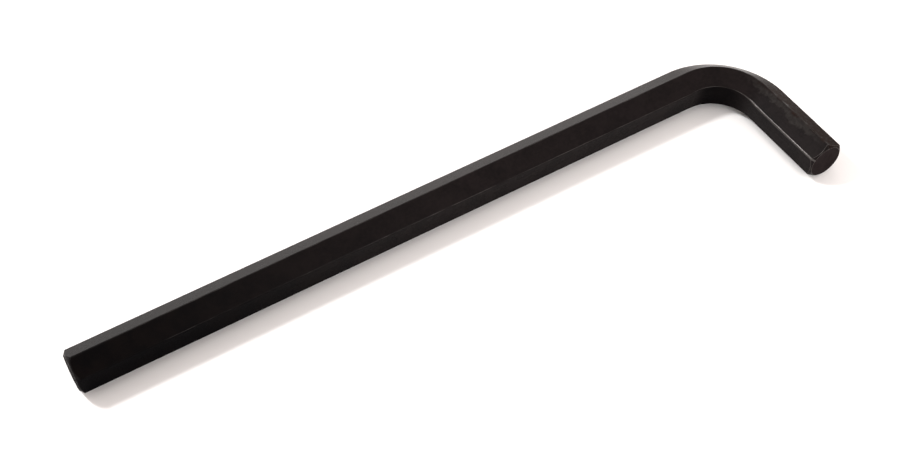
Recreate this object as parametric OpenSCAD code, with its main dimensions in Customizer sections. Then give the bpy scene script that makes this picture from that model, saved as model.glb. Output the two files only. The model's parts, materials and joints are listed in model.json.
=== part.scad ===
// Hex key: one length of hexagon bar, bent to an L and chamfered at both ends.
//
// The key lies as it rests on a bench, on one corner of its bar. The long arm runs
// towards -X from the bend and the short arm runs towards -Y. Two of the six flats
// are upright, and face the inside and the outside of the bend. The origin is under
// the middle of the key's bounding box, and Z = 0 is the bench.

/* [Bar] */
// Width across the flats, which is the size of socket that the key turns
across_flats = 8; // [5:0.25:12]
// How far the rounded corners of the bar stop short of a sharp hexagon's corners
corner_cut = 0.07; // [0.02:0.01:0.3]

/* [Arms] */
// Length of the long arm, from its end face to the outer flat of the short arm
long_arm = 160; // [80:1:300]
// Length of the short arm, from its end face to the outer flat of the long arm
short_arm = 37; // [30:0.5:70]
// Radius of the bend, at the flat on the inside of it
bend_inner_r = 9.9; // [4:0.1:13]

/* [Ends] */
// How far the rim of each round end face lies inside the flats
end_inset = 0.25; // [0.05:0.05:1]
// Angle of the end chamfers, from the axis of the bar
end_angle = 50; // [25:1:60]

/* [Hidden] */

// Sides of the bar, and the facets that a full turn of a round shape is drawn with
sides = 6;
turn_facets = 180;

// Distance from the bar's axis to a flat, to a sharp corner and to a rounded one
flat_r = across_flats / 2;
sharp_r = flat_r / cos(180 / sides);
corner_r = sharp_r - corner_cut;
// Radius of the round face that the chamfer leaves at an end
end_face_r = flat_r - end_inset;

// Radius of the bend on the bar's axis
bend_r = bend_inner_r + flat_r;
// Centre that the bend turns about
bend_x = long_arm / 2 - flat_r - bend_r;
bend_y = short_arm / 2 - flat_r - bend_r;
// Straight length of each arm, from the end of the bend to its end face
long_straight = long_arm - flat_r - bend_r;
short_straight = short_arm - flat_r - bend_r;

// Colour of the oxide finish
black_oxide = [0.13, 0.125, 0.13];

// Section of the bar: a hexagon that stands on a corner, with its corners rounded
module bar_section() {
    intersection() {
        rotate(90) circle(r = sharp_r, $fn = sides);
        circle(r = corner_r, $fn = turn_facets);
    }
}

// A straight arm that runs up from the origin, chamfered at its upper end
module arm(length) {
    intersection() {
        linear_extrude(height = length) bar_section();
        cylinder(
            h = length,
            r1 = end_face_r + length * tan(end_angle),
            r2 = end_face_r,
            $fn = turn_facets
        );
    }
}

// The bent quarter turn between the two arms
module bend() {
    rotate_extrude(angle = 90, $fn = turn_facets)
        translate([bend_r, 0])
            bar_section();
}

module hex_key() {
    color(black_oxide)
        translate([bend_x, bend_y, corner_r]) {
            bend();
            translate([0, bend_r, 0]) rotate([90, 0, -90]) arm(long_straight);
            translate([bend_r, 0, 0]) rotate([90, 0, 0]) arm(short_straight);
        }
}

hex_key();
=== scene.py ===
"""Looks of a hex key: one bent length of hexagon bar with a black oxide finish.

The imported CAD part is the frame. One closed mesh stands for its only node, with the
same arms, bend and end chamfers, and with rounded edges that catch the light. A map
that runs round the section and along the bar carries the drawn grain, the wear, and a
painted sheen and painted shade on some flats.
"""

import json
import logging
import math
from dataclasses import dataclass, field
from enum import Enum

import bpy
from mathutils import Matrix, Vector


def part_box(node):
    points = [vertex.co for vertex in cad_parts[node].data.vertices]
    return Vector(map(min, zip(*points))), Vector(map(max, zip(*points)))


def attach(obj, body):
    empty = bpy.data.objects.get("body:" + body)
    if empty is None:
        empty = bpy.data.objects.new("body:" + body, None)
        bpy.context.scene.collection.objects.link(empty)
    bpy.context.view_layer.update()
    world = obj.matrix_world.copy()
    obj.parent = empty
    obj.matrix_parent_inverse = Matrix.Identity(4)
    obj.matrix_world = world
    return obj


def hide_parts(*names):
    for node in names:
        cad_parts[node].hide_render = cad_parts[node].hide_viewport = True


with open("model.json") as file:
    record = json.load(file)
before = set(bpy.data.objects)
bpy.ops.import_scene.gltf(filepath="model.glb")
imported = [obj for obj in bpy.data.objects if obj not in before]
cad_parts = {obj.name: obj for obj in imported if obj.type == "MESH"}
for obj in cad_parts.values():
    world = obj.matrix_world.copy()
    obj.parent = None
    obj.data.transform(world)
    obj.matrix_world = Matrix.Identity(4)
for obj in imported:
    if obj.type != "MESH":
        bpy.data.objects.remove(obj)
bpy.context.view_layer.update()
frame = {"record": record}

LOG = logging.getLogger("hex_key")

NODE = "hex_key"
BODY = "root"
BAR_MAP = "bar_map"

SIDES = 6
HALF_STEP = math.pi / SIDES
MM = 0.001

# How far from a plane a vertex may be and still count as in it, and what is merged
IN_PLANE = 0.001 * MM
MERGED = 0.002 * MM

VECTOR = "NodeSocketVector"
Point = tuple[float, float, float]
Colour = tuple[float, float, float, float]
Output = bpy.types.NodeSocket
Value = float | Point | Colour | Output
Setting = str | float | bool | bpy.types.NodeTree


# Sizes


@dataclass(frozen=True)
class KeySizes:
    """Sizes of the key, in metres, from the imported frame.

    Attributes:
        tip_x: X of the long arm's end face.
        tip_y: Y of the short arm's end face.
        axis_x: X of the short arm's axis.
        axis_y: Y of the long arm's axis.
        axis_z: Height of both axes, which is also the radius to a rounded corner.
        flat_r: Distance from the axis to a flat.
        bend_r: Radius of the bend on the axis.
        end_face_r: Radius of the round face at each end.
        end_angle: Angle of the end chamfers from the axis, in radians.
    """

    tip_x: float
    tip_y: float
    axis_x: float
    axis_y: float
    axis_z: float
    flat_r: float
    bend_r: float = 13.9 * MM
    end_face_r: float = 3.75 * MM
    end_angle: float = math.radians(50)

    @classmethod
    def from_frame(cls) -> "KeySizes":
        """Reads the arms' axes from the mounts and the flats from the node's box.

        Returns:
            The key's sizes.
        """
        mounts = {m["name"]: Vector(m["pos_m"]) for m in frame["record"]["mounts"]}
        long_end, short_end = mounts["long_end_face"], mounts["short_end_face"]
        _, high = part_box(NODE)
        return cls(
            tip_x=long_end.x,
            tip_y=short_end.y,
            axis_x=short_end.x,
            axis_y=long_end.y,
            axis_z=long_end.z,
            flat_r=high.x - short_end.x,
        )

    @property
    def sharp_r(self) -> float:
        """Radius to the corners of the hexagon without its rounding."""
        return self.flat_r / math.cos(HALF_STEP)

    @property
    def side(self) -> float:
        """Width of one flat between sharp corners."""
        return 2 * self.flat_r * math.tan(HALF_STEP)

    @property
    def bend_centre(self) -> Vector:
        """Point that the bend turns about."""
        return Vector((self.axis_x - self.bend_r, self.axis_y - self.bend_r, self.axis_z))

    @property
    def long_straight(self) -> float:
        """Straight length of the long arm."""
        return self.bend_centre.x - self.tip_x

    @property
    def short_straight(self) -> float:
        """Straight length of the short arm."""
        return self.bend_centre.y - self.tip_y

    @property
    def bend_length(self) -> float:
        """Length of the bend along the axis."""
        return self.bend_r * math.pi / 2

    @property
    def length(self) -> float:
        """Length of the whole bar along its axis."""
        return self.long_straight + self.bend_length + self.short_straight


class Arm(Enum):
    """The key's two arms, each with the direction that it runs in from the bend."""

    LONG = (-1.0, 0.0, 0.0)
    SHORT = (0.0, -1.0, 0.0)

    @property
    def direction(self) -> Vector:
        """Unit vector from the bend to the arm's end face."""
        return Vector(self.value)

    def straight(self, sizes: KeySizes) -> float:
        """Straight length of this arm."""
        return sizes.long_straight if self is Arm.LONG else sizes.short_straight

    def start(self, sizes: KeySizes) -> Vector:
        """Finds where the bend ends and this arm begins.

        Args:
            sizes: Sizes of the key.

        Returns:
            The point on the axis.
        """
        centre = sizes.bend_centre
        if self is Arm.LONG:
            return Vector((centre.x, sizes.axis_y, sizes.axis_z))
        return Vector((sizes.axis_x, centre.y, sizes.axis_z))

    def turn(self) -> Point:
        """Finds how a new shape is turned to lie along this arm.

        Returns:
            The Euler angles that turn its Z axis along the arm.
        """
        if self is Arm.LONG:
            return (math.pi / 2, 0.0, -math.pi / 2)
        return (math.pi / 2, 0.0, 0.0)


# Shader graph helper


class Graph:
    """A node tree with short ways to add nodes and join them."""

    def __init__(self, tree: bpy.types.NodeTree) -> None:
        """Starts on an emptied tree.

        Args:
            tree: The node tree of a material, a group or a world.
        """
        self.tree = tree
        tree.nodes.clear()

    def add(self, kind: str, **settings: Setting) -> bpy.types.Node:
        """Adds a node.

        Args:
            kind: Blender's name for the node, without the ShaderNode prefix.
            settings: Properties to set on the node.

        Returns:
            The new node.
        """
        prefix = "" if kind.startswith("NodeGroup") else "ShaderNode"
        node = self.tree.nodes.new(prefix + kind)
        for name, value in settings.items():
            setattr(node, name, value)
        return node

    def feed(self, node: bpy.types.Node, **inputs: Value) -> bpy.types.Node:
        """Sets or joins a node's inputs.

        Args:
            node: The node.
            inputs: Socket names, with underscores for spaces, and what each is given.

        Returns:
            The same node.
        """
        for name, value in inputs.items():
            self.join(value, node.inputs[name.replace("_", " ")])
        return node

    def join(self, value: Value, socket: bpy.types.NodeSocket) -> None:
        """Joins an output to a socket, or sets the socket to a number or colour.

        Args:
            value: The output, number or colour.
            socket: The input that it goes to.
        """
        if isinstance(value, bpy.types.NodeSocket):
            self.tree.links.new(value, socket)
        else:
            socket.default_value = value

    def math(self, operation: str, *values: Value) -> Output:
        """Adds a Math node.

        Args:
            operation: Blender's name for the operation.
            values: Its one, two or three inputs, as numbers or outputs.

        Returns:
            The node's output.
        """
        node = self.add("Math", operation=operation)
        for value, socket in zip(values, node.inputs):
            self.join(value, socket)
        return node.outputs[0]

    def times(self, first: Value, second: Value) -> Output:
        """Multiplies two values."""
        return self.math("MULTIPLY", first, second)

    def less(self, first: Value, second: Value) -> Output:
        """Takes the second value from the first."""
        return self.math("SUBTRACT", first, second)

    def line(self, value: Value, slope: Value, start: Value) -> Output:
        """Multiplies a value by a slope and adds a start."""
        return self.math("MULTIPLY_ADD", value, slope, start)

    def ramp(self, value: Value, low: Value, high: Value, smooth: bool = True) -> Output:
        """Maps a value to 0 at low and 1 at high, and keeps it there past them.

        Args:
            value: The value to map.
            low: The value that gives 0.
            high: The value that gives 1.
            smooth: Whether the change eases in and out.

        Returns:
            The mapped value.
        """
        kind = "SMOOTHSTEP" if smooth else "LINEAR"
        node = self.add("MapRange", interpolation_type=kind, clamp=True)
        return self.feed(node, Value=value, From_Min=low, From_Max=high).outputs["Result"]

    def mix(self, factor: Value, first: Value, second: Value) -> Output:
        """Mixes two colours.

        Args:
            factor: 0 for all of the first, 1 for all of the second.
            first: A colour or an output.
            second: A colour or an output.

        Returns:
            The mixed colour.
        """
        # A Mix node keeps a set of sockets for each kind of data, and these are the colours'
        node = self.add("Mix", data_type="RGBA", clamp_factor=True)
        self.join(factor, node.inputs[0])
        self.join(first, node.inputs[6])
        self.join(second, node.inputs[7])
        return node.outputs[2]

    def noise(self, vector: Output, scale: Value, detail: float, rough: float = 0.55) -> Output:
        """Adds a noise texture.

        Args:
            vector: Coordinates to read.
            scale: Cells per metre.
            detail: Octaves of finer noise.
            rough: Strength of the finer noise.

        Returns:
            The noise's value, about 0.5 on average.
        """
        node = self.add("TexNoise", normalize=True)
        self.feed(node, Vector=vector, Scale=scale, Detail=detail, Roughness=rough)
        return node.outputs["Fac"]

    def sum(self, first: Value, second: Value, share: float) -> Output:
        """Adds a share of the first value to the rest of the second."""
        return self.math("ADD", self.times(first, share), self.times(second, 1.0 - share))


@dataclass(frozen=True)
class Socket:
    """A named input or output of a node group.

    Attributes:
        name: The socket's name.
        kind: Blender's socket type.
        value: Default value of an input.
    """

    name: str
    kind: str = "NodeSocketFloat"
    value: float | None = None


@dataclass
class Group:
    """A shader node group with named sockets, empty at first.

    Attributes:
        name: The group's name.
        inputs: Its inputs.
        outputs: Its outputs.
        graph: Its graph.
        given: Its input node.
        out: Its output node.
    """

    name: str
    inputs: tuple[Socket, ...]
    outputs: tuple[Socket, ...]
    graph: Graph = field(init=False)
    given: bpy.types.Node = field(init=False)
    out: bpy.types.Node = field(init=False)

    def __post_init__(self) -> None:
        """Makes the tree, its sockets and its two end nodes."""
        tree = bpy.data.node_groups.new(self.name, "ShaderNodeTree")
        self.graph = Graph(tree)
        for direction, sockets in (("INPUT", self.inputs), ("OUTPUT", self.outputs)):
            for socket in sockets:
                made = tree.interface.new_socket(socket.name, in_out=direction, socket_type=socket.kind)
                if socket.value is not None:
                    made.default_value = socket.value
        self.given = self.graph.add("NodeGroupInput")
        self.out = self.graph.add("NodeGroupOutput")

    def take(self, *names: str) -> list[Output]:
        """Reads what the group is given under each name."""
        return [self.given.outputs[name] for name in names]

    def finish(self, **outputs: Value) -> bpy.types.NodeTree:
        """Joins the group's outputs, given as in Graph.feed, and returns its tree."""
        self.graph.feed(self.out, **outputs)
        return self.graph.tree


def place_group(graph: Graph, tree: bpy.types.NodeTree, **inputs: Value) -> bpy.types.Node:
    """Places a node group in a material, with its inputs given as in Graph.feed."""
    return graph.feed(graph.add("Group", node_tree=tree), **inputs)


def new_material(name: str, gloss: float) -> tuple[bpy.types.Material, Graph, bpy.types.Node]:
    """Makes a material that holds a shader and nothing else yet.

    Args:
        name: The material's name.
        gloss: Index of refraction of the surface.

    Returns:
        The material, its graph and its shader.
    """
    material = bpy.data.materials.new(name)
    material.use_nodes = True
    graph = Graph(material.node_tree)
    shader = graph.feed(graph.add("BsdfPrincipled"), IOR=gloss)
    graph.join(shader.outputs[0], graph.add("OutputMaterial").inputs[0])
    return material, graph, shader


def emboss(graph: Graph, shader: bpy.types.Node, height: Output, relief: float) -> None:
    """Gives a shader the bumps of a height from 0 to 1, as deep as the relief in metres."""
    bump = graph.feed(graph.add("Bump"), Strength=1.0, Distance=relief, Height=height)
    graph.join(bump.outputs[0], shader.inputs["Normal"])


# Shared effects


@dataclass
class Effects:
    """Node groups that the finishes share, each built once.

    Attributes:
        sizes: Sizes of the key.
        stretch: How much of a distance along the bar is left in the drawn-out coordinates.
        place: Group that says where a point lies on the bar.
        mottle: Group that gives soft blotches.
        grain: Group that gives the drawn lines of the bar.
        wear: Group that gives the bright line of a worn edge.
    """

    sizes: KeySizes
    stretch: float = 0.04
    place: bpy.types.NodeTree = field(init=False)
    mottle: bpy.types.NodeTree = field(init=False)
    grain: bpy.types.NodeTree = field(init=False)
    wear: bpy.types.NodeTree = field(init=False)

    def __post_init__(self) -> None:
        """Builds the groups."""
        self.place = self._place()
        self.mottle = self._mottle()
        self.grain = self._grain()
        self.wear = self._wear()

    def _place(self) -> bpy.types.NodeTree:
        """Says where a point lies on the bar.

        Returns:
            A group with the distances round the section and along the bar, the distance
            to the nearest long edge, all in metres, and drawn-out coordinates.
        """
        names = (Socket("Around"), Socket("Along"), Socket("Edge Distance"), Socket("Stretched", VECTOR))
        group = Group("bar_place", (), names)
        graph, side = group.graph, self.sizes.side
        split = graph.add("SeparateXYZ")
        graph.join(graph.add("UVMap", uv_map=BAR_MAP).outputs[0], split.inputs[0])
        around, along = split.outputs[0], split.outputs[1]
        turns = graph.math("ADD", graph.math("DIVIDE", around, side), 0.5)
        off_edge = graph.less(graph.math("FRACT", turns), 0.5)
        distance = graph.times(graph.math("ABSOLUTE", off_edge), side)
        drawn = graph.feed(graph.add("CombineXYZ"), X=around, Y=graph.times(along, self.stretch))
        return group.finish(
            Around=around, Along=along, Edge_Distance=distance, Stretched=drawn.outputs[0]
        )

    def _mottle(self) -> bpy.types.NodeTree:
        """Gives soft blotches with ragged rims, as the oxide bath leaves.

        Returns:
            A group that puts out a mask from 0 to 1.
        """
        names = (Socket("Vector", VECTOR), Socket("Scale", value=300.0), Socket("Spread", value=0.2))
        group = Group("mottle", names, (Socket("Mask"),))
        graph = group.graph
        vector, scale, spread = group.take("Vector", "Scale", "Spread")
        broad = graph.noise(vector, scale, detail=2.0)
        fine = graph.noise(vector, graph.times(scale, 4.3), detail=4.0, rough=0.65)
        low = graph.less(0.5, spread)
        high = graph.math("ADD", 0.5, spread)
        return group.finish(Mask=graph.ramp(graph.sum(broad, fine, 0.7), low, high))

    def _grain(self) -> bpy.types.NodeTree:
        """Gives the fine lines that drawing leaves along the bar, with a few pits.

        Returns:
            A group that puts out a height, and a value for rubbed lines from 0 to 1.
        """
        names = (Socket("Stretched", VECTOR), Socket("Vector", VECTOR))
        group = Group("drawn_grain", names, (Socket("Height"), Socket("Rub")))
        graph = group.graph
        stretched, vector = group.take("Stretched", "Vector")
        lines = graph.noise(stretched, 9000.0, detail=2.0)
        wide_lines = graph.noise(stretched, 1800.0, detail=3.0)
        tooth = graph.noise(vector, 6500.0, detail=2.0)
        pits = graph.ramp(graph.noise(vector, 2300.0, detail=1.0), 0.33, 0.22)
        height = graph.less(graph.sum(lines, tooth, 0.35), graph.times(pits, 0.8))
        return group.finish(Height=height, Rub=wide_lines)

    def _wear(self) -> bpy.types.NodeTree:
        """Gives the broken bright line where an edge has rubbed through its finish.

        Returns:
            A group that puts out a mask from 0 to 1.
        """
        names = (
            Socket("Distance", value=0.0),
            Socket("Reach", value=0.4 * MM),
            Socket("Amount", value=0.5),
            Socket("Vector", VECTOR),
            Socket("Scale", value=900.0),
        )
        group = Group("edge_wear", names, (Socket("Mask"),))
        graph = group.graph
        distance, reach, amount, vector, scale = group.take(*(socket.name for socket in names))
        broad = graph.noise(vector, scale, detail=3.0, rough=0.6)
        fine = graph.noise(vector, graph.times(scale, 5.0), detail=3.0, rough=0.6)
        breaks = graph.less(graph.sum(broad, fine, 0.65), 0.5)
        near = graph.less(1.0, graph.math("DIVIDE", distance, reach))
        level = graph.line(breaks, 2.6, near)
        level = graph.line(graph.less(amount, 1.0), 1.2, level)
        return group.finish(Mask=graph.ramp(level, 0.1, 0.75))


# Finishes


@dataclass
class BarPlaces:
    """Masks, from 0 to 1, of how handling, the oil and use have reached each place, and of where sheen and
    shade are painted.

    They are the long arm away from its end (handling, and a painted sheen), used (the short arm),
    the upright flats (painted shade, and no oil), inside (a ragged strip beside the top edge), outside
    (all past that edge) and dry.
    A pair gives where a mask is 0 and where it is 1. Widths round the bar are shares of
    one flat, from the top edge.

    Attributes:
        graph: The material's graph.
        effects: The shared node groups.
        blotches: Cells per metre and spread of the broad blotches.
        specks: The same of the fine specks.
        rags: The same of the ragged rim beside the top edge.
        hand_and_sheen_span: Where handling rubs the long arm and a painted sheen lightens it, from none to
            full, in metres from its end.
        grip: Where the short arm's use begins, in shares of the bend.
        crook_run: How fast the crook of the bend begins, in metres.
        upright: Where the upright flats begin.
        least_bare_and_shaded: How much painted shade, and loss of oil, the upright flats keep away from
            the crook and the long end.
        rag_width: How far the ragged rim strays.
        inside_at: Where the strip inside the top edge begins.
        outside_at: Where it ends.
        tip_fade: How far before the short end the strip fades, in metres.
        dry_at: Where the oil goes, in metres before the bend and before the short end.
        most_dry: How much of the oil goes outside the top edge.
    """

    graph: Graph
    effects: Effects
    blotches: tuple[float, float] = (210.0, 0.17)
    specks: tuple[float, float] = (1500.0, 0.15)
    rags: tuple[float, float] = (300.0, 0.20)
    hand_and_sheen_span: tuple[float, float] = (10 * MM, 90 * MM)
    grip: tuple[float, float] = (0.55, 1.05)
    crook_run: float = 6 * MM
    upright: tuple[float, float] = (0.94, 1.06)
    least_bare_and_shaded: float = 0.3
    rag_width: float = 0.42
    inside_at: tuple[float, float] = (-0.36, -0.24)
    outside_at: tuple[float, float] = (-0.10, 0.16)
    tip_fade: float = 8 * MM
    dry_at: tuple[float, float] = (10 * MM, 5 * MM)
    most_dry: float = 0.95

    def __post_init__(self) -> None:
        """Reads where a point lies, and makes the masks from that."""
        graph, effects = self.graph, self.effects
        point = graph.add("TexCoord").outputs["Object"]
        place = place_group(graph, effects.place).outputs
        self.around, self.along, self.edge = place["Around"], place["Along"], place["Edge Distance"]
        self.stretched = place["Stretched"]
        grain = place_group(graph, effects.grain, Stretched=self.stretched, Vector=point).outputs
        self.height, self.rub = grain["Height"], grain["Rub"]
        self.blotch, self.speck, self.ragged = (
            place_group(graph, effects.mottle, Vector=point, Scale=scale, Spread=spread).outputs["Mask"]
            for scale, spread in (self.blotches, self.specks, self.rags)
        )
        straight, bend = effects.sizes.long_straight, effects.sizes.bend_length
        # Painted sheen: the dust film follows this ramp, so the long arm's end stays darker, as it mirrors
        # the dark side by the camera. The ramp also sets where handling wears the inner edge.
        self.handled_and_sheen = graph.ramp(self.along, *self.hand_and_sheen_span)
        self.used = graph.ramp(self.along, *(straight + share * bend for share in self.grip))
        # Painted shade on the upright flats in the crook of the bend and at the long end, where the bar
        # lies in shade and mirrors the shadowed bench; the same mask takes their oil away.
        self.bare_and_shaded = self._bare_and_shaded()
        self.inside, self.outside = self._beside_top()
        self.dry = self._dry()

    def shares(self, shares: tuple[float, float]) -> tuple[float, float]:
        """Turns two shares of a flat into metres."""
        side = self.effects.sizes.side
        return shares[0] * side, shares[1] * side

    def _bare_and_shaded(self) -> Output:
        """Masks the upright flats in the crook of the bend and at the long end, which get painted shade
        and lose their oil.

        Returns:
            The mask.
        """
        graph, bend = self.graph, self.effects.sizes.long_straight
        upright = graph.ramp(graph.math("ABSOLUTE", self.around), *self.shares(self.upright))
        crook = graph.less(graph.ramp(self.along, bend, bend + self.crook_run), self.used)
        # Full painted shade in the crook and at the long end, and some on every upright flat
        away = graph.math("MAXIMUM", graph.less(1.0, self.handled_and_sheen), crook)
        return graph.times(upright, graph.math("MAXIMUM", away, self.least_bare_and_shaded))

    def _beside_top(self) -> tuple[Output, Output]:
        """Parts the places beside the top edge along a ragged line.

        Returns:
            The masks of the strip inside the top edge and of all that lies outside it.
        """
        graph, length = self.graph, self.effects.sizes.length
        stray = self.rag_width * self.effects.sizes.side
        lean = graph.line(graph.less(self.ragged, 0.5), stray, self.around)
        outside = graph.ramp(lean, *self.shares(self.outside_at))
        inside = graph.less(graph.ramp(lean, *self.shares(self.inside_at)), outside)
        fade = graph.ramp(self.along, length, length - self.tip_fade)
        return graph.times(graph.times(inside, self.used), fade), outside

    def _dry(self) -> Output:
        """Masks where the oil is gone: the upright flats that also get painted shade, and outside the top
        edge.

        Returns:
            The mask.
        """
        graph, sizes = self.graph, self.effects.sizes
        low, high = sizes.long_straight - self.dry_at[0], sizes.length - self.dry_at[1]
        drying = graph.ramp(self.along, low, high, smooth=False)
        outside = graph.times(graph.times(self.outside, drying), self.most_dry)
        return graph.math("MAXIMUM", self.bare_and_shaded, outside)


@dataclass(frozen=True)
class OxideFinish:
    """Black oxide on steel, rubbed and browned towards the short arm, with painted sheen and painted shade
    on some flats.

    Attributes:
        name: Name of the material.
        cool: Colour of the blue-black patches.
        warm: Colour of the brown-black patches.
        shade_tone: Painted shade: near-black colour of the upright flats in the crook of the bend and at
            the long end.
        dust_and_sheen: Colour of a dull film along the long arm away from its end: partly real dust,
            partly a painted sheen that leaves the end darker.
        patch: Colour of the ragged light patches beside the short arm's top edge.
        rust: Colour of the brown bloom on the short arm.
        steel: Colour where the finish has rubbed through.
        film_mix: How strong the dust and its painted sheen are, and how much blotches and specks add to
            them.
        shade_film_cut: How much of the dust and sheen is taken off the flats with painted shade.
        shade_mix: How strong the painted shade is there.
        patch_mix: How strong the light patches are, and how much specks add to them.
        bloom_mix: The same of the brown bloom.
        gloss: Index of refraction of the oxide.
        oil_gloss: Index of refraction of the oil on it.
        rough: Lowest and highest roughness.
        bloom_rough: How much the bloom adds to the roughness.
        shine: How metallic the rubbed steel is.
        edge_band: Where an edge's own wear is none and full, in shares of a flat from it.
        edge_reach: How far wear reaches from a long edge.
        edge_amount: How much of the edges is worn.
        edge_use: How much more of the short arm's inner edge is worn.
        inner_reach: How much further wear reaches there, as a share.
        inner_use: How much more of the inner edge is worn along the long arm, as handling reaches it.
        top_use: How much more of the top edge is worn.
        short_use: How much more of every edge is worn on the short arm.
        wear_scale: Breaks per metre in the worn lines, before they are drawn out.
        relief: Depth of the surface's tooth.
    """

    name: str
    cool: Colour = (0.0020, 0.0018, 0.0020, 1.0)
    warm: Colour = (0.0034, 0.0026, 0.0025, 1.0)
    # Painted shade colour
    shade_tone: Colour = (0.0006, 0.0006, 0.0010, 1.0)
    # Partly real dust, partly a painted sheen that grows along the long arm
    dust_and_sheen: Colour = (0.0088, 0.0067, 0.0067, 1.0)
    patch: Colour = (0.0215, 0.0190, 0.0178, 1.0)
    rust: Colour = (0.0150, 0.0088, 0.0068, 1.0)
    steel: Colour = (0.056, 0.052, 0.050, 1.0)
    film_mix: tuple[float, float, float] = (0.42, 0.42, 0.60)
    shade_film_cut: float = 0.75
    shade_mix: float = 0.6
    patch_mix: tuple[float, float] = (0.35, 0.5)
    bloom_mix: tuple[float, float] = (0.25, 0.7)
    gloss: float = 1.062
    oil_gloss: float = 1.089
    rough: tuple[float, float] = (0.20, 0.34)
    bloom_rough: float = 0.45
    shine: float = 0.6
    edge_band: tuple[float, float] = (0.3, 0.1)
    edge_reach: float = 0.16 * MM
    edge_amount: float = 0.30
    edge_use: float = 0.75
    inner_reach: float = 0.6
    inner_use: float = 0.36
    top_use: float = 0.22
    short_use: float = 0.0
    wear_scale: float = 1500.0
    relief: float = 0.014 * MM

    def material(self, effects: Effects) -> bpy.types.Material:
        """Builds the material.

        Args:
            effects: The shared node groups.

        Returns:
            The material.
        """
        material, graph, shader = new_material(self.name, self.gloss)
        graph.feed(shader, Coat_IOR=self.oil_gloss, Coat_Roughness=sum(self.rough) / 2)
        spot = BarPlaces(graph, effects)
        least, specks = self.bloom_mix
        bloom = graph.times(graph.times(spot.outside, spot.used), graph.line(spot.speck, specks, least))
        worn = self._worn(graph, spot)
        tone = graph.mix(bloom, self._tone(graph, spot), self.rust)
        low, high = self.rough
        rubbed = graph.sum(spot.rub, spot.blotch, 0.5)
        graph.feed(
            shader,
            Base_Color=graph.mix(worn, tone, self.steel),
            Metallic=graph.times(worn, self.shine),
            Roughness=graph.line(bloom, self.bloom_rough, graph.line(rubbed, high - low, low)),
            Coat_Weight=graph.less(1.0, spot.dry),
        )
        emboss(graph, shader, spot.height, self.relief)
        return material

    def _tone(self, graph: Graph, spot: BarPlaces) -> Output:
        """Colours the oxide, the dust on it with its painted sheen, the painted shade on the upright
        flats, and the light patches.

        Args:
            graph: The material's graph.
            spot: The masks of its places.

        Returns:
            The colour without bloom or wear.
        """
        least, blotches, specks = self.film_mix
        film_and_sheen = graph.line(spot.blotch, blotches, least)
        film_and_sheen = graph.line(graph.times(spot.speck, spot.rub), specks, film_and_sheen)
        # Painted sheen: the film fades out towards the long arm's end, which is left darker
        film_and_sheen = graph.times(film_and_sheen, spot.handled_and_sheen)
        # Painted shade: less film on the upright flats
        film_and_sheen = graph.times(film_and_sheen, graph.line(spot.bare_and_shaded, -self.shade_film_cut, 1.0))
        tone = graph.mix(spot.blotch, self.cool, self.warm)
        # Painted shade: a near-black tone on the upright flats in the crook and at the long end
        tone = graph.mix(graph.times(spot.bare_and_shaded, self.shade_mix), tone, self.shade_tone)
        tone = graph.mix(film_and_sheen, tone, self.dust_and_sheen)
        least, specks = self.patch_mix
        return graph.mix(graph.times(spot.inside, graph.line(spot.speck, specks, least)), tone, self.patch)

    def _worn(self, graph: Graph, spot: BarPlaces) -> Output:
        """Finds where the long edges have rubbed through the oxide.

        Args:
            graph: The material's graph.
            spot: The masks of its places.

        Returns:
            The mask of the steel that shows through.
        """
        band = spot.shares(self.edge_band)
        off_inner = graph.math("ADD", spot.around, spot.effects.sizes.side)
        top_edge = graph.ramp(graph.math("ABSOLUTE", spot.around), *band)
        inner_edge = graph.ramp(graph.math("ABSOLUTE", off_inner), *band)
        used_edge = graph.times(inner_edge, spot.used)
        amount = graph.line(top_edge, self.top_use, self.edge_amount)
        amount = graph.line(spot.used, self.short_use, amount)
        amount = graph.line(graph.times(inner_edge, spot.handled_and_sheen), self.inner_use, amount)
        wear = place_group(
            graph,
            spot.effects.wear,
            Distance=spot.edge,
            Reach=graph.line(used_edge, self.inner_reach * self.edge_reach, self.edge_reach),
            Amount=graph.line(used_edge, self.edge_use, amount),
            Vector=spot.stretched,
            Scale=self.wear_scale,
        )
        return wear.outputs["Mask"]


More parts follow.
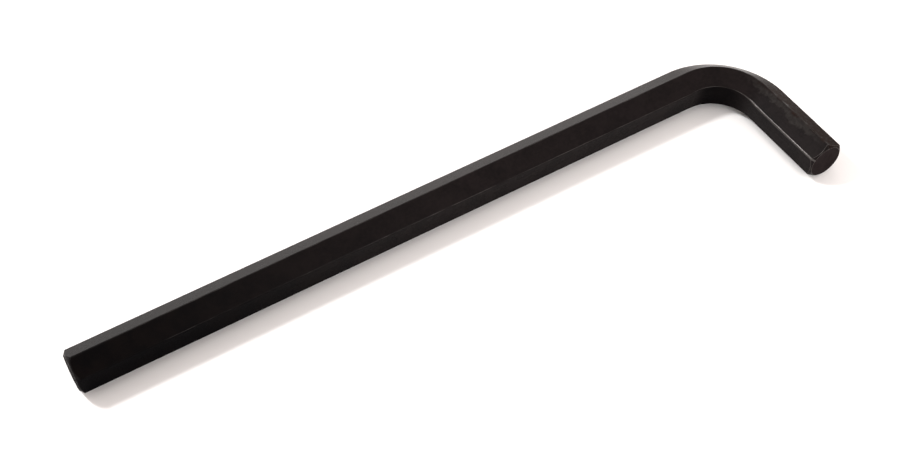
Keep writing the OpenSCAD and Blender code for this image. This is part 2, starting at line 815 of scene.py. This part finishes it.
@dataclass(frozen=True)
class EndFinish:
    """Cropped and ground end of the bar, blackened with the rest.

    Attributes:
        name: Name of the material.
        dark: Colour of the darker streaks.
        light: Colour of the lighter streaks.
        fresh: Colour of the long arm's end, which is hardly worn.
        worn_from: Where along the bar an end turns from fresh to worn, in metres.
        blotches: Cells per metre and spread of the blotches.
        stretch: How much of a height is left in the coordinates of the grinding lines.
        gloss: Index of refraction of the surface.
        rough: Lowest and highest roughness.
        relief: Depth of the grinding lines.
    """

    name: str
    dark: Colour = (0.0088, 0.0063, 0.0065, 1.0)
    light: Colour = (0.0195, 0.0150, 0.0150, 1.0)
    fresh: Colour = (0.0026, 0.0019, 0.0016, 1.0)
    worn_from: tuple[float, float] = (10 * MM, 100 * MM)
    blotches: tuple[float, float] = (520.0, 0.2)
    stretch: float = 0.08
    gloss: float = 1.04
    rough: tuple[float, float] = (0.45, 0.65)
    relief: float = 0.02 * MM

    def material(self, effects: Effects) -> bpy.types.Material:
        """Builds the material.

        Args:
            effects: The shared node groups.

        Returns:
            The material.
        """
        material, graph, shader = new_material(self.name, self.gloss)
        point = graph.add("TexCoord").outputs["Object"]
        lines = graph.feed(graph.add("Mapping"), Vector=point, Scale=(1.0, 1.0, self.stretch))
        scale, spread = self.blotches
        blotch = place_group(graph, effects.mottle, Vector=point, Scale=scale, Spread=spread)
        grain = place_group(graph, effects.grain, Stretched=lines.outputs[0], Vector=point)
        along = place_group(graph, effects.place).outputs["Along"]
        streak = graph.sum(grain.outputs["Rub"], blotch.outputs["Mask"], 0.5)
        tone = graph.mix(streak, self.dark, self.light)
        tone = graph.mix(graph.ramp(along, *self.worn_from), self.fresh, tone)
        low, high = self.rough
        graph.feed(shader, Base_Color=tone, Roughness=graph.line(streak, high - low, low))
        emboss(graph, shader, grain.outputs["Height"], self.relief)
        return material


# The bar


class Dress(Enum):
    """The bar's three finishes, each with its place among the mesh's materials."""

    OXIDE = 0
    RIM = 1
    END = 2


def select_only(*pieces: bpy.types.Object) -> None:
    """Selects these objects and nothing else, and makes the last one active.

    Args:
        pieces: The objects.
    """
    bpy.ops.object.select_all(action="DESELECT")
    for piece in pieces:
        piece.select_set(True)
    bpy.context.view_layer.objects.active = pieces[-1]


@dataclass
class HexBar:
    """The key's bar: one closed mesh that stands for the CAD node.

    Attributes:
        sizes: Sizes of the key.
        corner_cuts: Facets that round each long edge.
        bend_steps: Steps round the bend.
        arm_step: Length of one step along an arm.
        end_stub: Length of the stretch at each end that the chamfer is cut on.
        cone_facets: Facets of the chamfer's cone.
        rim_width: Width of the softened rims of the chamfers.
        inner_r: Radius that forming leaves along the inner edges of the bend.
        ridge_r: Radius that forming leaves along the top and bottom edges.
        swell: How far forming lifts the upper inner edge. It lowers the lower one half as far.
        swell_from: Where the swell begins, as a share of the way from the axis to the inner flat.
        push: How far a full weight moves a vertex when the bend is formed.
        rim_angle: Least angle of an edge that is softened.
    """

    sizes: KeySizes
    corner_cuts: int = 6
    bend_steps: int = 45
    arm_step: float = 6 * MM
    end_stub: float = 2 * MM
    cone_facets: int = 144
    rim_width: float = 0.10 * MM
    inner_r: float = 8.6 * MM
    ridge_r: float = 11.6 * MM
    swell: float = 0.59 * MM
    swell_from: float = 0.05
    push: float = 2 * MM
    rim_angle: float = math.radians(32)

    def build(self, effects: Effects) -> bpy.types.Object:
        """Builds and dresses the bar.

        Args:
            effects: The shared node groups.

        Returns:
            The bar's object.
        """
        bar = self._bent_tube()
        self._lay_map(bar)
        self._form_bend(bar)
        stubs = [self._end_stub(arm) for arm in Arm]
        for stub in stubs:
            self._lay_map(stub)
        self._weld(bar, stubs)
        # All of a rim is open to wear, so its reach is far wider than a flat
        rim = OxideFinish(
            "worn_rim",
            steel=(0.115, 0.105, 0.100, 1.0),
            edge_reach=40 * MM,
            edge_amount=0.10,
            edge_use=0.20,
            short_use=0.70,
        )
        finishes = {
            Dress.OXIDE: OxideFinish("black_oxide"),
            Dress.RIM: rim,
            Dress.END: EndFinish("ground_end"),
        }
        for dress in Dress:
            bar.data.materials.append(finishes[dress].material(effects))
        self._soften(bar)
        bar.name = "hex_key_bar"
        bar.data.name = bar.name
        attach(bar, BODY)
        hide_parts(NODE)
        return bar

    def _section(self, place: Vector, turn: Point) -> bpy.types.Object:
        """Adds the rounded hexagon as one face.

        Args:
            place: Centre of the section.
            turn: Euler angles of the section's plane.

        Returns:
            The new object, in edit mode with its outline selected.
        """
        bpy.ops.object.select_all(action="DESELECT")
        bpy.ops.mesh.primitive_circle_add(
            vertices=SIDES, radius=self.sizes.sharp_r, fill_type="NGON", location=place, rotation=turn
        )
        section = bpy.context.active_object
        bpy.ops.object.transform_apply(location=True, rotation=True, scale=True)
        bpy.ops.object.mode_set(mode="EDIT")
        bpy.ops.mesh.select_all(action="SELECT")
        # A round cut takes 1 - sqrt(1/2) of its set-back off a corner of 120 degrees
        cut = (self.sizes.sharp_r - self.sizes.axis_z) / (1 - math.sqrt(0.5))
        bpy.ops.mesh.bevel(
            offset_type="OFFSET", offset=cut, segments=self.corner_cuts, profile=0.5, affect="VERTICES"
        )
        bpy.ops.mesh.select_all(action="SELECT")
        return section

    def _draw_out(self, arm: Arm, length: float, step: float) -> None:
        """Extrudes what is selected along an arm, in equal steps.

        Args:
            arm: The arm.
            length: How far it is drawn out.
            step: Length that each step comes close to.
        """
        steps = max(1, round(length / step))
        for _ in range(steps):
            bpy.ops.mesh.extrude_region_move(
                TRANSFORM_OT_translate={"value": arm.direction * (length / steps)}
            )

    def _select_ring(self, bar: bpy.types.Object, point: Vector, direction: Vector) -> None:
        """Selects the vertices that lie in a plane across the bar.

        Args:
            bar: The object, in edit mode.
            point: A point of the plane.
            direction: The plane's normal.
        """
        bpy.ops.mesh.select_all(action="DESELECT")
        bpy.ops.object.mode_set(mode="OBJECT")
        for vertex in bar.data.vertices:
            off = (vertex.co - point).dot(direction)
            near = (vertex.co - point).length < 2 * self.sizes.sharp_r
            vertex.select = near and abs(off) < IN_PLANE
        bpy.ops.object.mode_set(mode="EDIT")

    def _bent_tube(self) -> bpy.types.Object:
        """Makes the open tube: the bend, and each arm up to its end stub.

        Returns:
            The tube's object.
        """
        sizes = self.sizes
        start = Arm.SHORT.start(sizes)
        bar = self._section(start, Arm.SHORT.turn())
        bpy.ops.mesh.delete(type="ONLY_FACE")
        bpy.ops.mesh.select_all(action="SELECT")
        bpy.ops.mesh.spin(
            steps=self.bend_steps, angle=-math.pi / 2, center=sizes.bend_centre, axis=(0, 0, 1)
        )
        for arm in Arm:
            self._select_ring(bar, arm.start(sizes), arm.direction)
            self._draw_out(arm, arm.straight(sizes) - self.end_stub, self.arm_step)
        bpy.ops.object.mode_set(mode="OBJECT")
        return bar

    @staticmethod
    def _dip(radius: float, slant: float) -> float:
        """Finds how far a bend's line lies inside the corner of its two straight runs.

        Args:
            radius: Radius of the bend.
            slant: Distance along the bend's chord, from the middle.

        Returns:
            The depth at that place, below zero.
        """
        if abs(slant) >= radius * math.sqrt(0.5):
            return -abs(slant)
        return math.sqrt(radius**2 - slant**2) - radius * math.sqrt(2)

    def _formed_shift(self, out: float, slant: float) -> float:
        """Finds how far forming moves a point of the bend outwards.

        Args:
            out: How far outside the axis the point lies.
            slant: Its distance along the bend's chord, from the middle.

        Returns:
            The distance that it moves, away from the bend's centre.
        """
        sizes = self.sizes
        reach = sizes.side * math.cos(HALF_STEP)
        drawn_r = sizes.bend_r + reach
        slope = (drawn_r - self.inner_r) / (2 * reach)
        curve = (drawn_r + self.inner_r - 2 * self.ridge_r) / (2 * reach**2)
        formed_r = self.ridge_r + slope * out + curve * out**2
        return max(0.0, self._dip(formed_r, slant) - self._dip(sizes.bend_r + out, slant))

    def _form_bend(self, bar: bpy.types.Object) -> None:
        """Draws the bend tight on its inner side and spreads it there, as forming does.

        Args:
            bar: The open tube, with a bend of even section.
        """
        sizes, centre = self.sizes, self.sizes.bend_centre
        for name in ("drawn", "up", "down"):
            bar.vertex_groups.new(name=name)
        for vertex in bar.data.vertices:
            off = vertex.co - centre
            if off.x <= 0 or off.y <= 0:
                continue
            out = math.hypot(off.x, off.y) - sizes.bend_r
            shift = self._formed_shift(out, (off.x - off.y) * math.sqrt(0.5))
            bar.vertex_groups["drawn"].add([vertex.index], shift / self.push, "REPLACE")
            inward = max(0.0, -out / sizes.flat_r - self.swell_from)
            spread = math.sin(2 * math.atan2(off.x, off.y)) * inward
            half = bar.vertex_groups["up" if off.z > 0 else "down"]
            half.add([vertex.index], spread * min(1.0, abs(off.z) / (sizes.side / 2)), "REPLACE")
        select_only(bar)
        slant = self.push * math.sqrt(0.5)
        for axis, strength, group in (
            ("X", slant, "drawn"),
            ("Y", slant, "drawn"),
            ("Z", self.swell, "up"),
            ("Z", -self.swell / 2, "down"),
        ):
            move = bar.modifiers.new("form", "DISPLACE")
            move.direction, move.strength, move.mid_level = axis, strength, 0.0
            move.vertex_group = group
            bpy.ops.object.modifier_apply(modifier="form")
        bar.vertex_groups.clear()

    def _end_stub(self, arm: Arm) -> bpy.types.Object:
        """Makes the last stretch of an arm, chamfered by a cone and open to the tube.

        Args:
            arm: The arm.

        Returns:
            The stub's object.
        """
        sizes = self.sizes
        root = arm.start(sizes) + arm.direction * (arm.straight(sizes) - self.end_stub)
        stub = self._section(root, arm.turn())
        self._draw_out(arm, self.end_stub, self.end_stub)
        bpy.ops.mesh.select_all(action="SELECT")
        bpy.ops.mesh.normals_make_consistent(inside=False)
        bpy.ops.object.mode_set(mode="OBJECT")

        # The cone reaches past the stub's open end, so no two faces lie in one plane
        depth = 2 * self.end_stub
        bpy.ops.object.select_all(action="DESELECT")
        bpy.ops.mesh.primitive_cone_add(
            vertices=self.cone_facets,
            radius1=sizes.end_face_r + depth * math.tan(sizes.end_angle),
            radius2=sizes.end_face_r,
            depth=depth,
            location=root + arm.direction * (self.end_stub - depth / 2),
            rotation=arm.turn(),
        )
        cone = bpy.context.active_object
        bpy.ops.object.transform_apply(location=True, rotation=True, scale=True)
        select_only(stub)
        cut = stub.modifiers.new("chamfer", "BOOLEAN")
        cut.operation, cut.solver, cut.object = "INTERSECT", "EXACT", cone
        bpy.ops.object.modifier_apply(modifier=cut.name)
        bpy.data.objects.remove(cone)

        bpy.ops.object.mode_set(mode="EDIT")
        self._select_ring(stub, root, arm.direction)
        bpy.ops.mesh.select_mode(type="FACE")
        bpy.ops.mesh.delete(type="ONLY_FACE")
        bpy.ops.mesh.select_mode(type="VERT")
        bpy.ops.object.mode_set(mode="OBJECT")
        return stub

    def _weld(self, bar: bpy.types.Object, stubs: list[bpy.types.Object]) -> None:
        """Joins the stubs to the tube and merges the rings where they meet.

        Args:
            bar: The tube, which takes the stubs in.
            stubs: The stubs.
        """
        select_only(*stubs, bar)
        bpy.ops.object.join()
        bpy.ops.object.mode_set(mode="EDIT")
        bpy.ops.mesh.select_all(action="SELECT")
        bpy.ops.mesh.remove_doubles(threshold=MERGED)
        bpy.ops.mesh.normals_make_consistent(inside=False)
        bpy.ops.object.mode_set(mode="OBJECT")

    def _soften(self, bar: bpy.types.Object) -> None:
        """Rounds the rims of the chamfers and evens the shading of the flats.

        Args:
            bar: The closed bar, with its three materials.
        """
        select_only(bar)
        bpy.ops.object.shade_smooth()
        for face in bar.data.polygons:
            if any(self._at_tip(face, arm) for arm in Arm):
                face.material_index = Dress.END.value
        rims = bar.modifiers.new("rims", "BEVEL")
        rims.limit_method, rims.angle_limit = "ANGLE", self.rim_angle
        rims.width, rims.segments, rims.material = self.rim_width, 2, Dress.RIM.value
        even = bar.modifiers.new("even", "WEIGHTED_NORMAL")
        even.weight, even.keep_sharp = 80, False
        for modifier in (rims, even):
            bpy.ops.object.modifier_apply(modifier=modifier.name)

    def _at_tip(self, face: bpy.types.MeshPolygon, arm: Arm) -> bool:
        """Says whether a face is the round end face of an arm.

        Args:
            face: The face.
            arm: The arm.

        Returns:
            True where the face lies in the plane of the end and faces along the arm.
        """
        tip = arm.start(self.sizes) + arm.direction * arm.straight(self.sizes)
        off = abs((face.center - tip).dot(arm.direction))
        return face.normal.dot(arm.direction) > 0.999 and off < 10 * IN_PLANE

    def _on_bar(self, point: Vector) -> tuple[float, float]:
        """Finds where a point lies on the bar.

        Args:
            point: A point of the surface.

        Returns:
            The distance round the section from the top edge, positive towards the
            outside of the bend, and the distance along the bar from the long end.
        """
        sizes, centre = self.sizes, self.sizes.bend_centre
        if point.x <= centre.x:
            along, out = point.x - sizes.tip_x, point.y - sizes.axis_y
        elif point.y <= centre.y:
            along = sizes.long_straight + sizes.bend_length + centre.y - point.y
            out = point.x - sizes.axis_x
        else:
            off = point - centre
            turned = math.atan2(off.x, off.y)
            along = sizes.long_straight + sizes.bend_r * turned
            out = math.hypot(off.x, off.y) - sizes.bend_r
        angle = math.atan2(out, point.z - sizes.axis_z)
        flat = math.floor(angle / (2 * HALF_STEP))
        across = math.tan(angle - (2 * flat + 1) * HALF_STEP) * sizes.flat_r
        return (flat + 0.5) * sizes.side + across, along

    def _lay_map(self, bar: bpy.types.Object) -> None:
        """Writes the map that runs round and along the bar, in metres.

        Args:
            bar: The tube or a stub, before the bend is formed.
        """
        mesh = bar.data
        for layer in list(mesh.uv_layers):
            mesh.uv_layers.remove(layer)
        layer = mesh.uv_layers.new(name=BAR_MAP)
        girth = SIDES * self.sizes.side
        for face in mesh.polygons:
            middle, _ = self._on_bar(face.center)
            for index in face.loop_indices:
                around, along = self._on_bar(mesh.vertices[mesh.loops[index].vertex_index].co)
                around -= girth * round((around - middle) / girth)
                layer.data[index].uv = (around, along)


# The studio


@dataclass(frozen=True)
class Viewpoint:
    """Where the camera stands and what it looks at.

    Attributes:
        target: Point on the bench at the middle of the view, in metres.
        azimuth: Turn from the +Y direction, in degrees.
        elevation: Height above the horizon, in degrees.
        distance: Distance from the target.
        lens: Focal length, in millimetres.
    """

    target: Point = (0.43 * MM, 9.8 * MM, 0.0)
    azimuth: float = -31.53
    elevation: float = 50.67
    distance: float = 298.7 * MM
    lens: float = 57.8

    def back(self) -> Vector:
        """Finds the direction from the target to the camera.

        Returns:
            The direction, as a unit vector.
        """
        turn, rise = math.radians(self.azimuth), math.radians(self.elevation)
        flat = math.cos(rise)
        return Vector((math.sin(turn) * flat, -math.cos(turn) * flat, math.sin(rise)))

    def place(self) -> bpy.types.Object:
        """Adds the camera.

        Returns:
            The camera's object.
        """
        data = bpy.data.cameras.new("camera")
        data.lens, data.clip_start, data.clip_end = self.lens, 1 * MM, 100.0
        camera = bpy.data.objects.new("camera", data)
        camera.location = Vector(self.target) + self.back() * self.distance
        camera.rotation_euler = (-self.back()).to_track_quat("-Z", "Y").to_euler()
        bpy.context.scene.collection.objects.link(camera)
        bpy.context.scene.camera = camera
        return camera


@dataclass(frozen=True)
class Lamp:
    """A round soft lamp.

    Attributes:
        name: The lamp's name.
        place: Where it hangs.
        aim: The point that it faces.
        width: Its diameter.
        power: Its power, in watts.
    """

    name: str
    place: Point
    aim: Point
    width: float
    power: float

    def hang(self) -> None:
        """Adds the lamp."""
        data = bpy.data.lights.new(self.name, "AREA")
        data.shape, data.size, data.energy = "DISK", self.width, self.power
        lamp = bpy.data.objects.new(self.name, data)
        lamp.location = self.place
        towards = Vector(self.aim) - Vector(self.place)
        lamp.rotation_euler = towards.to_track_quat("-Z", "Y").to_euler()
        bpy.context.scene.collection.objects.link(lamp)


@dataclass
class Studio:
    """The pale bench and its soft light.

    Attributes:
        floor_side: Side of the floor.
        floor_tone: Colour of the floor.
        sky_tone: Colour of the light from all round.
        sky_power: Mean strength of that light.
        sky_side: Direction that the light is strongest from.
        sky_slope: How much stronger it is from there than from the middle.
        screen_place: Middle of the dark screen beside the camera.
        screen_r: Radius of the screen.
        screen_tone: Colour of the screen's cloth.
        dull_ior: Index of refraction of the floor and the cloth.
        dull_rough: Their roughness.
        dull_gloss: How much they mirror.
        lamps: The lamps.
    """

    floor_side: float = 6.0
    floor_tone: Colour = (0.90, 0.895, 0.89, 1.0)
    sky_tone: Colour = (1.0, 0.912, 0.875, 1.0)
    sky_power: float = 1.215
    sky_side: Point = (0.25, -0.55, -0.35)
    sky_slope: float = 0.30
    screen_place: Point = (-0.12, -0.12, 0.20)
    screen_r: float = 0.12
    screen_tone: Colour = (0.01, 0.01, 0.01, 1.0)
    dull_ior: float = 1.5
    dull_rough: float = 0.9
    dull_gloss: float = 0.1
    lamps: tuple[Lamp, ...] = (
        Lamp("key_lamp", (-0.213, 0.237, 0.378), (0.0, 0.01, 0.0), 0.085, 2.0),
        Lamp("back_lamp", (0.13, 0.40, 0.06), (0.03, 0.01, 0.0), 0.40, 0.76),
        Lamp("fill_lamp", (0.04, -0.16, 0.12), (0.03, 0.01, 0.0), 0.12, 0.14),
    )

    def build(self) -> None:
        """Adds the floor, the sky, the screen and the lamps."""
        self._floor()
        self._sky()
        self._screen()
        for lamp in self.lamps:
            lamp.hang()
        bpy.context.scene.view_settings.view_transform = "Standard"

    def _floor(self) -> None:
        """Adds the bench that the key lies on."""
        bpy.ops.object.select_all(action="DESELECT")
        bpy.ops.mesh.primitive_plane_add(size=self.floor_side)
        floor = bpy.context.active_object
        floor.name = "floor"
        self._dull(floor, "pale_floor", self.floor_tone)

    def _screen(self) -> None:
        """Adds the dark screen beside the camera, which the long arm's end mirrors."""
        bpy.ops.object.select_all(action="DESELECT")
        bpy.ops.mesh.primitive_circle_add(
            vertices=48,
            radius=self.screen_r,
            fill_type="NGON",
            location=self.screen_place,
            rotation=Vector(self.screen_place).to_track_quat("Z", "Y").to_euler(),
        )
        screen = bpy.context.active_object
        screen.name = "screen"
        screen.visible_camera = False
        self._dull(screen, "screen_cloth", self.screen_tone)

    def _dull(self, piece: bpy.types.Object, name: str, tone: Colour) -> None:
        """Gives a piece of the studio a plain dull finish.

        Args:
            piece: The floor or the screen.
            name: Name of the material.
            tone: Its colour.
        """
        material, graph, shader = new_material(name, self.dull_ior)
        graph.feed(
            shader, Base_Color=tone, Roughness=self.dull_rough, Specular_IOR_Level=self.dull_gloss
        )
        piece.data.materials.append(material)

    def _sky(self) -> None:
        """Lights the scene from all round, most strongly from one side."""
        world = bpy.data.worlds.new("studio")
        world.use_nodes = True
        graph = Graph(world.node_tree)
        towards = graph.add("VectorMath", operation="DOT_PRODUCT")
        graph.join(graph.add("TexCoord").outputs["Generated"], towards.inputs[0])
        towards.inputs[1].default_value = self.sky_side
        slope = self.sky_power * self.sky_slope
        power = graph.line(towards.outputs["Value"], slope, self.sky_power)
        background = graph.feed(graph.add("Background"), Color=self.sky_tone, Strength=power)
        graph.join(background.outputs[0], graph.add("OutputWorld").inputs[0])
        bpy.context.scene.world = world


def main() -> None:
    """Builds the camera, the key and the studio."""
    logging.basicConfig(level=logging.INFO, format="%(name)s: %(message)s")
    sizes = KeySizes.from_frame()
    Viewpoint().place()
    effects = Effects(sizes)
    bar = HexBar(sizes).build(effects)
    LOG.info("%s: %d faces, %.1f mm along the bar", bar.name, len(bar.data.polygons), sizes.length / MM)
    Studio().build()


if __name__ == "__main__":
    main()
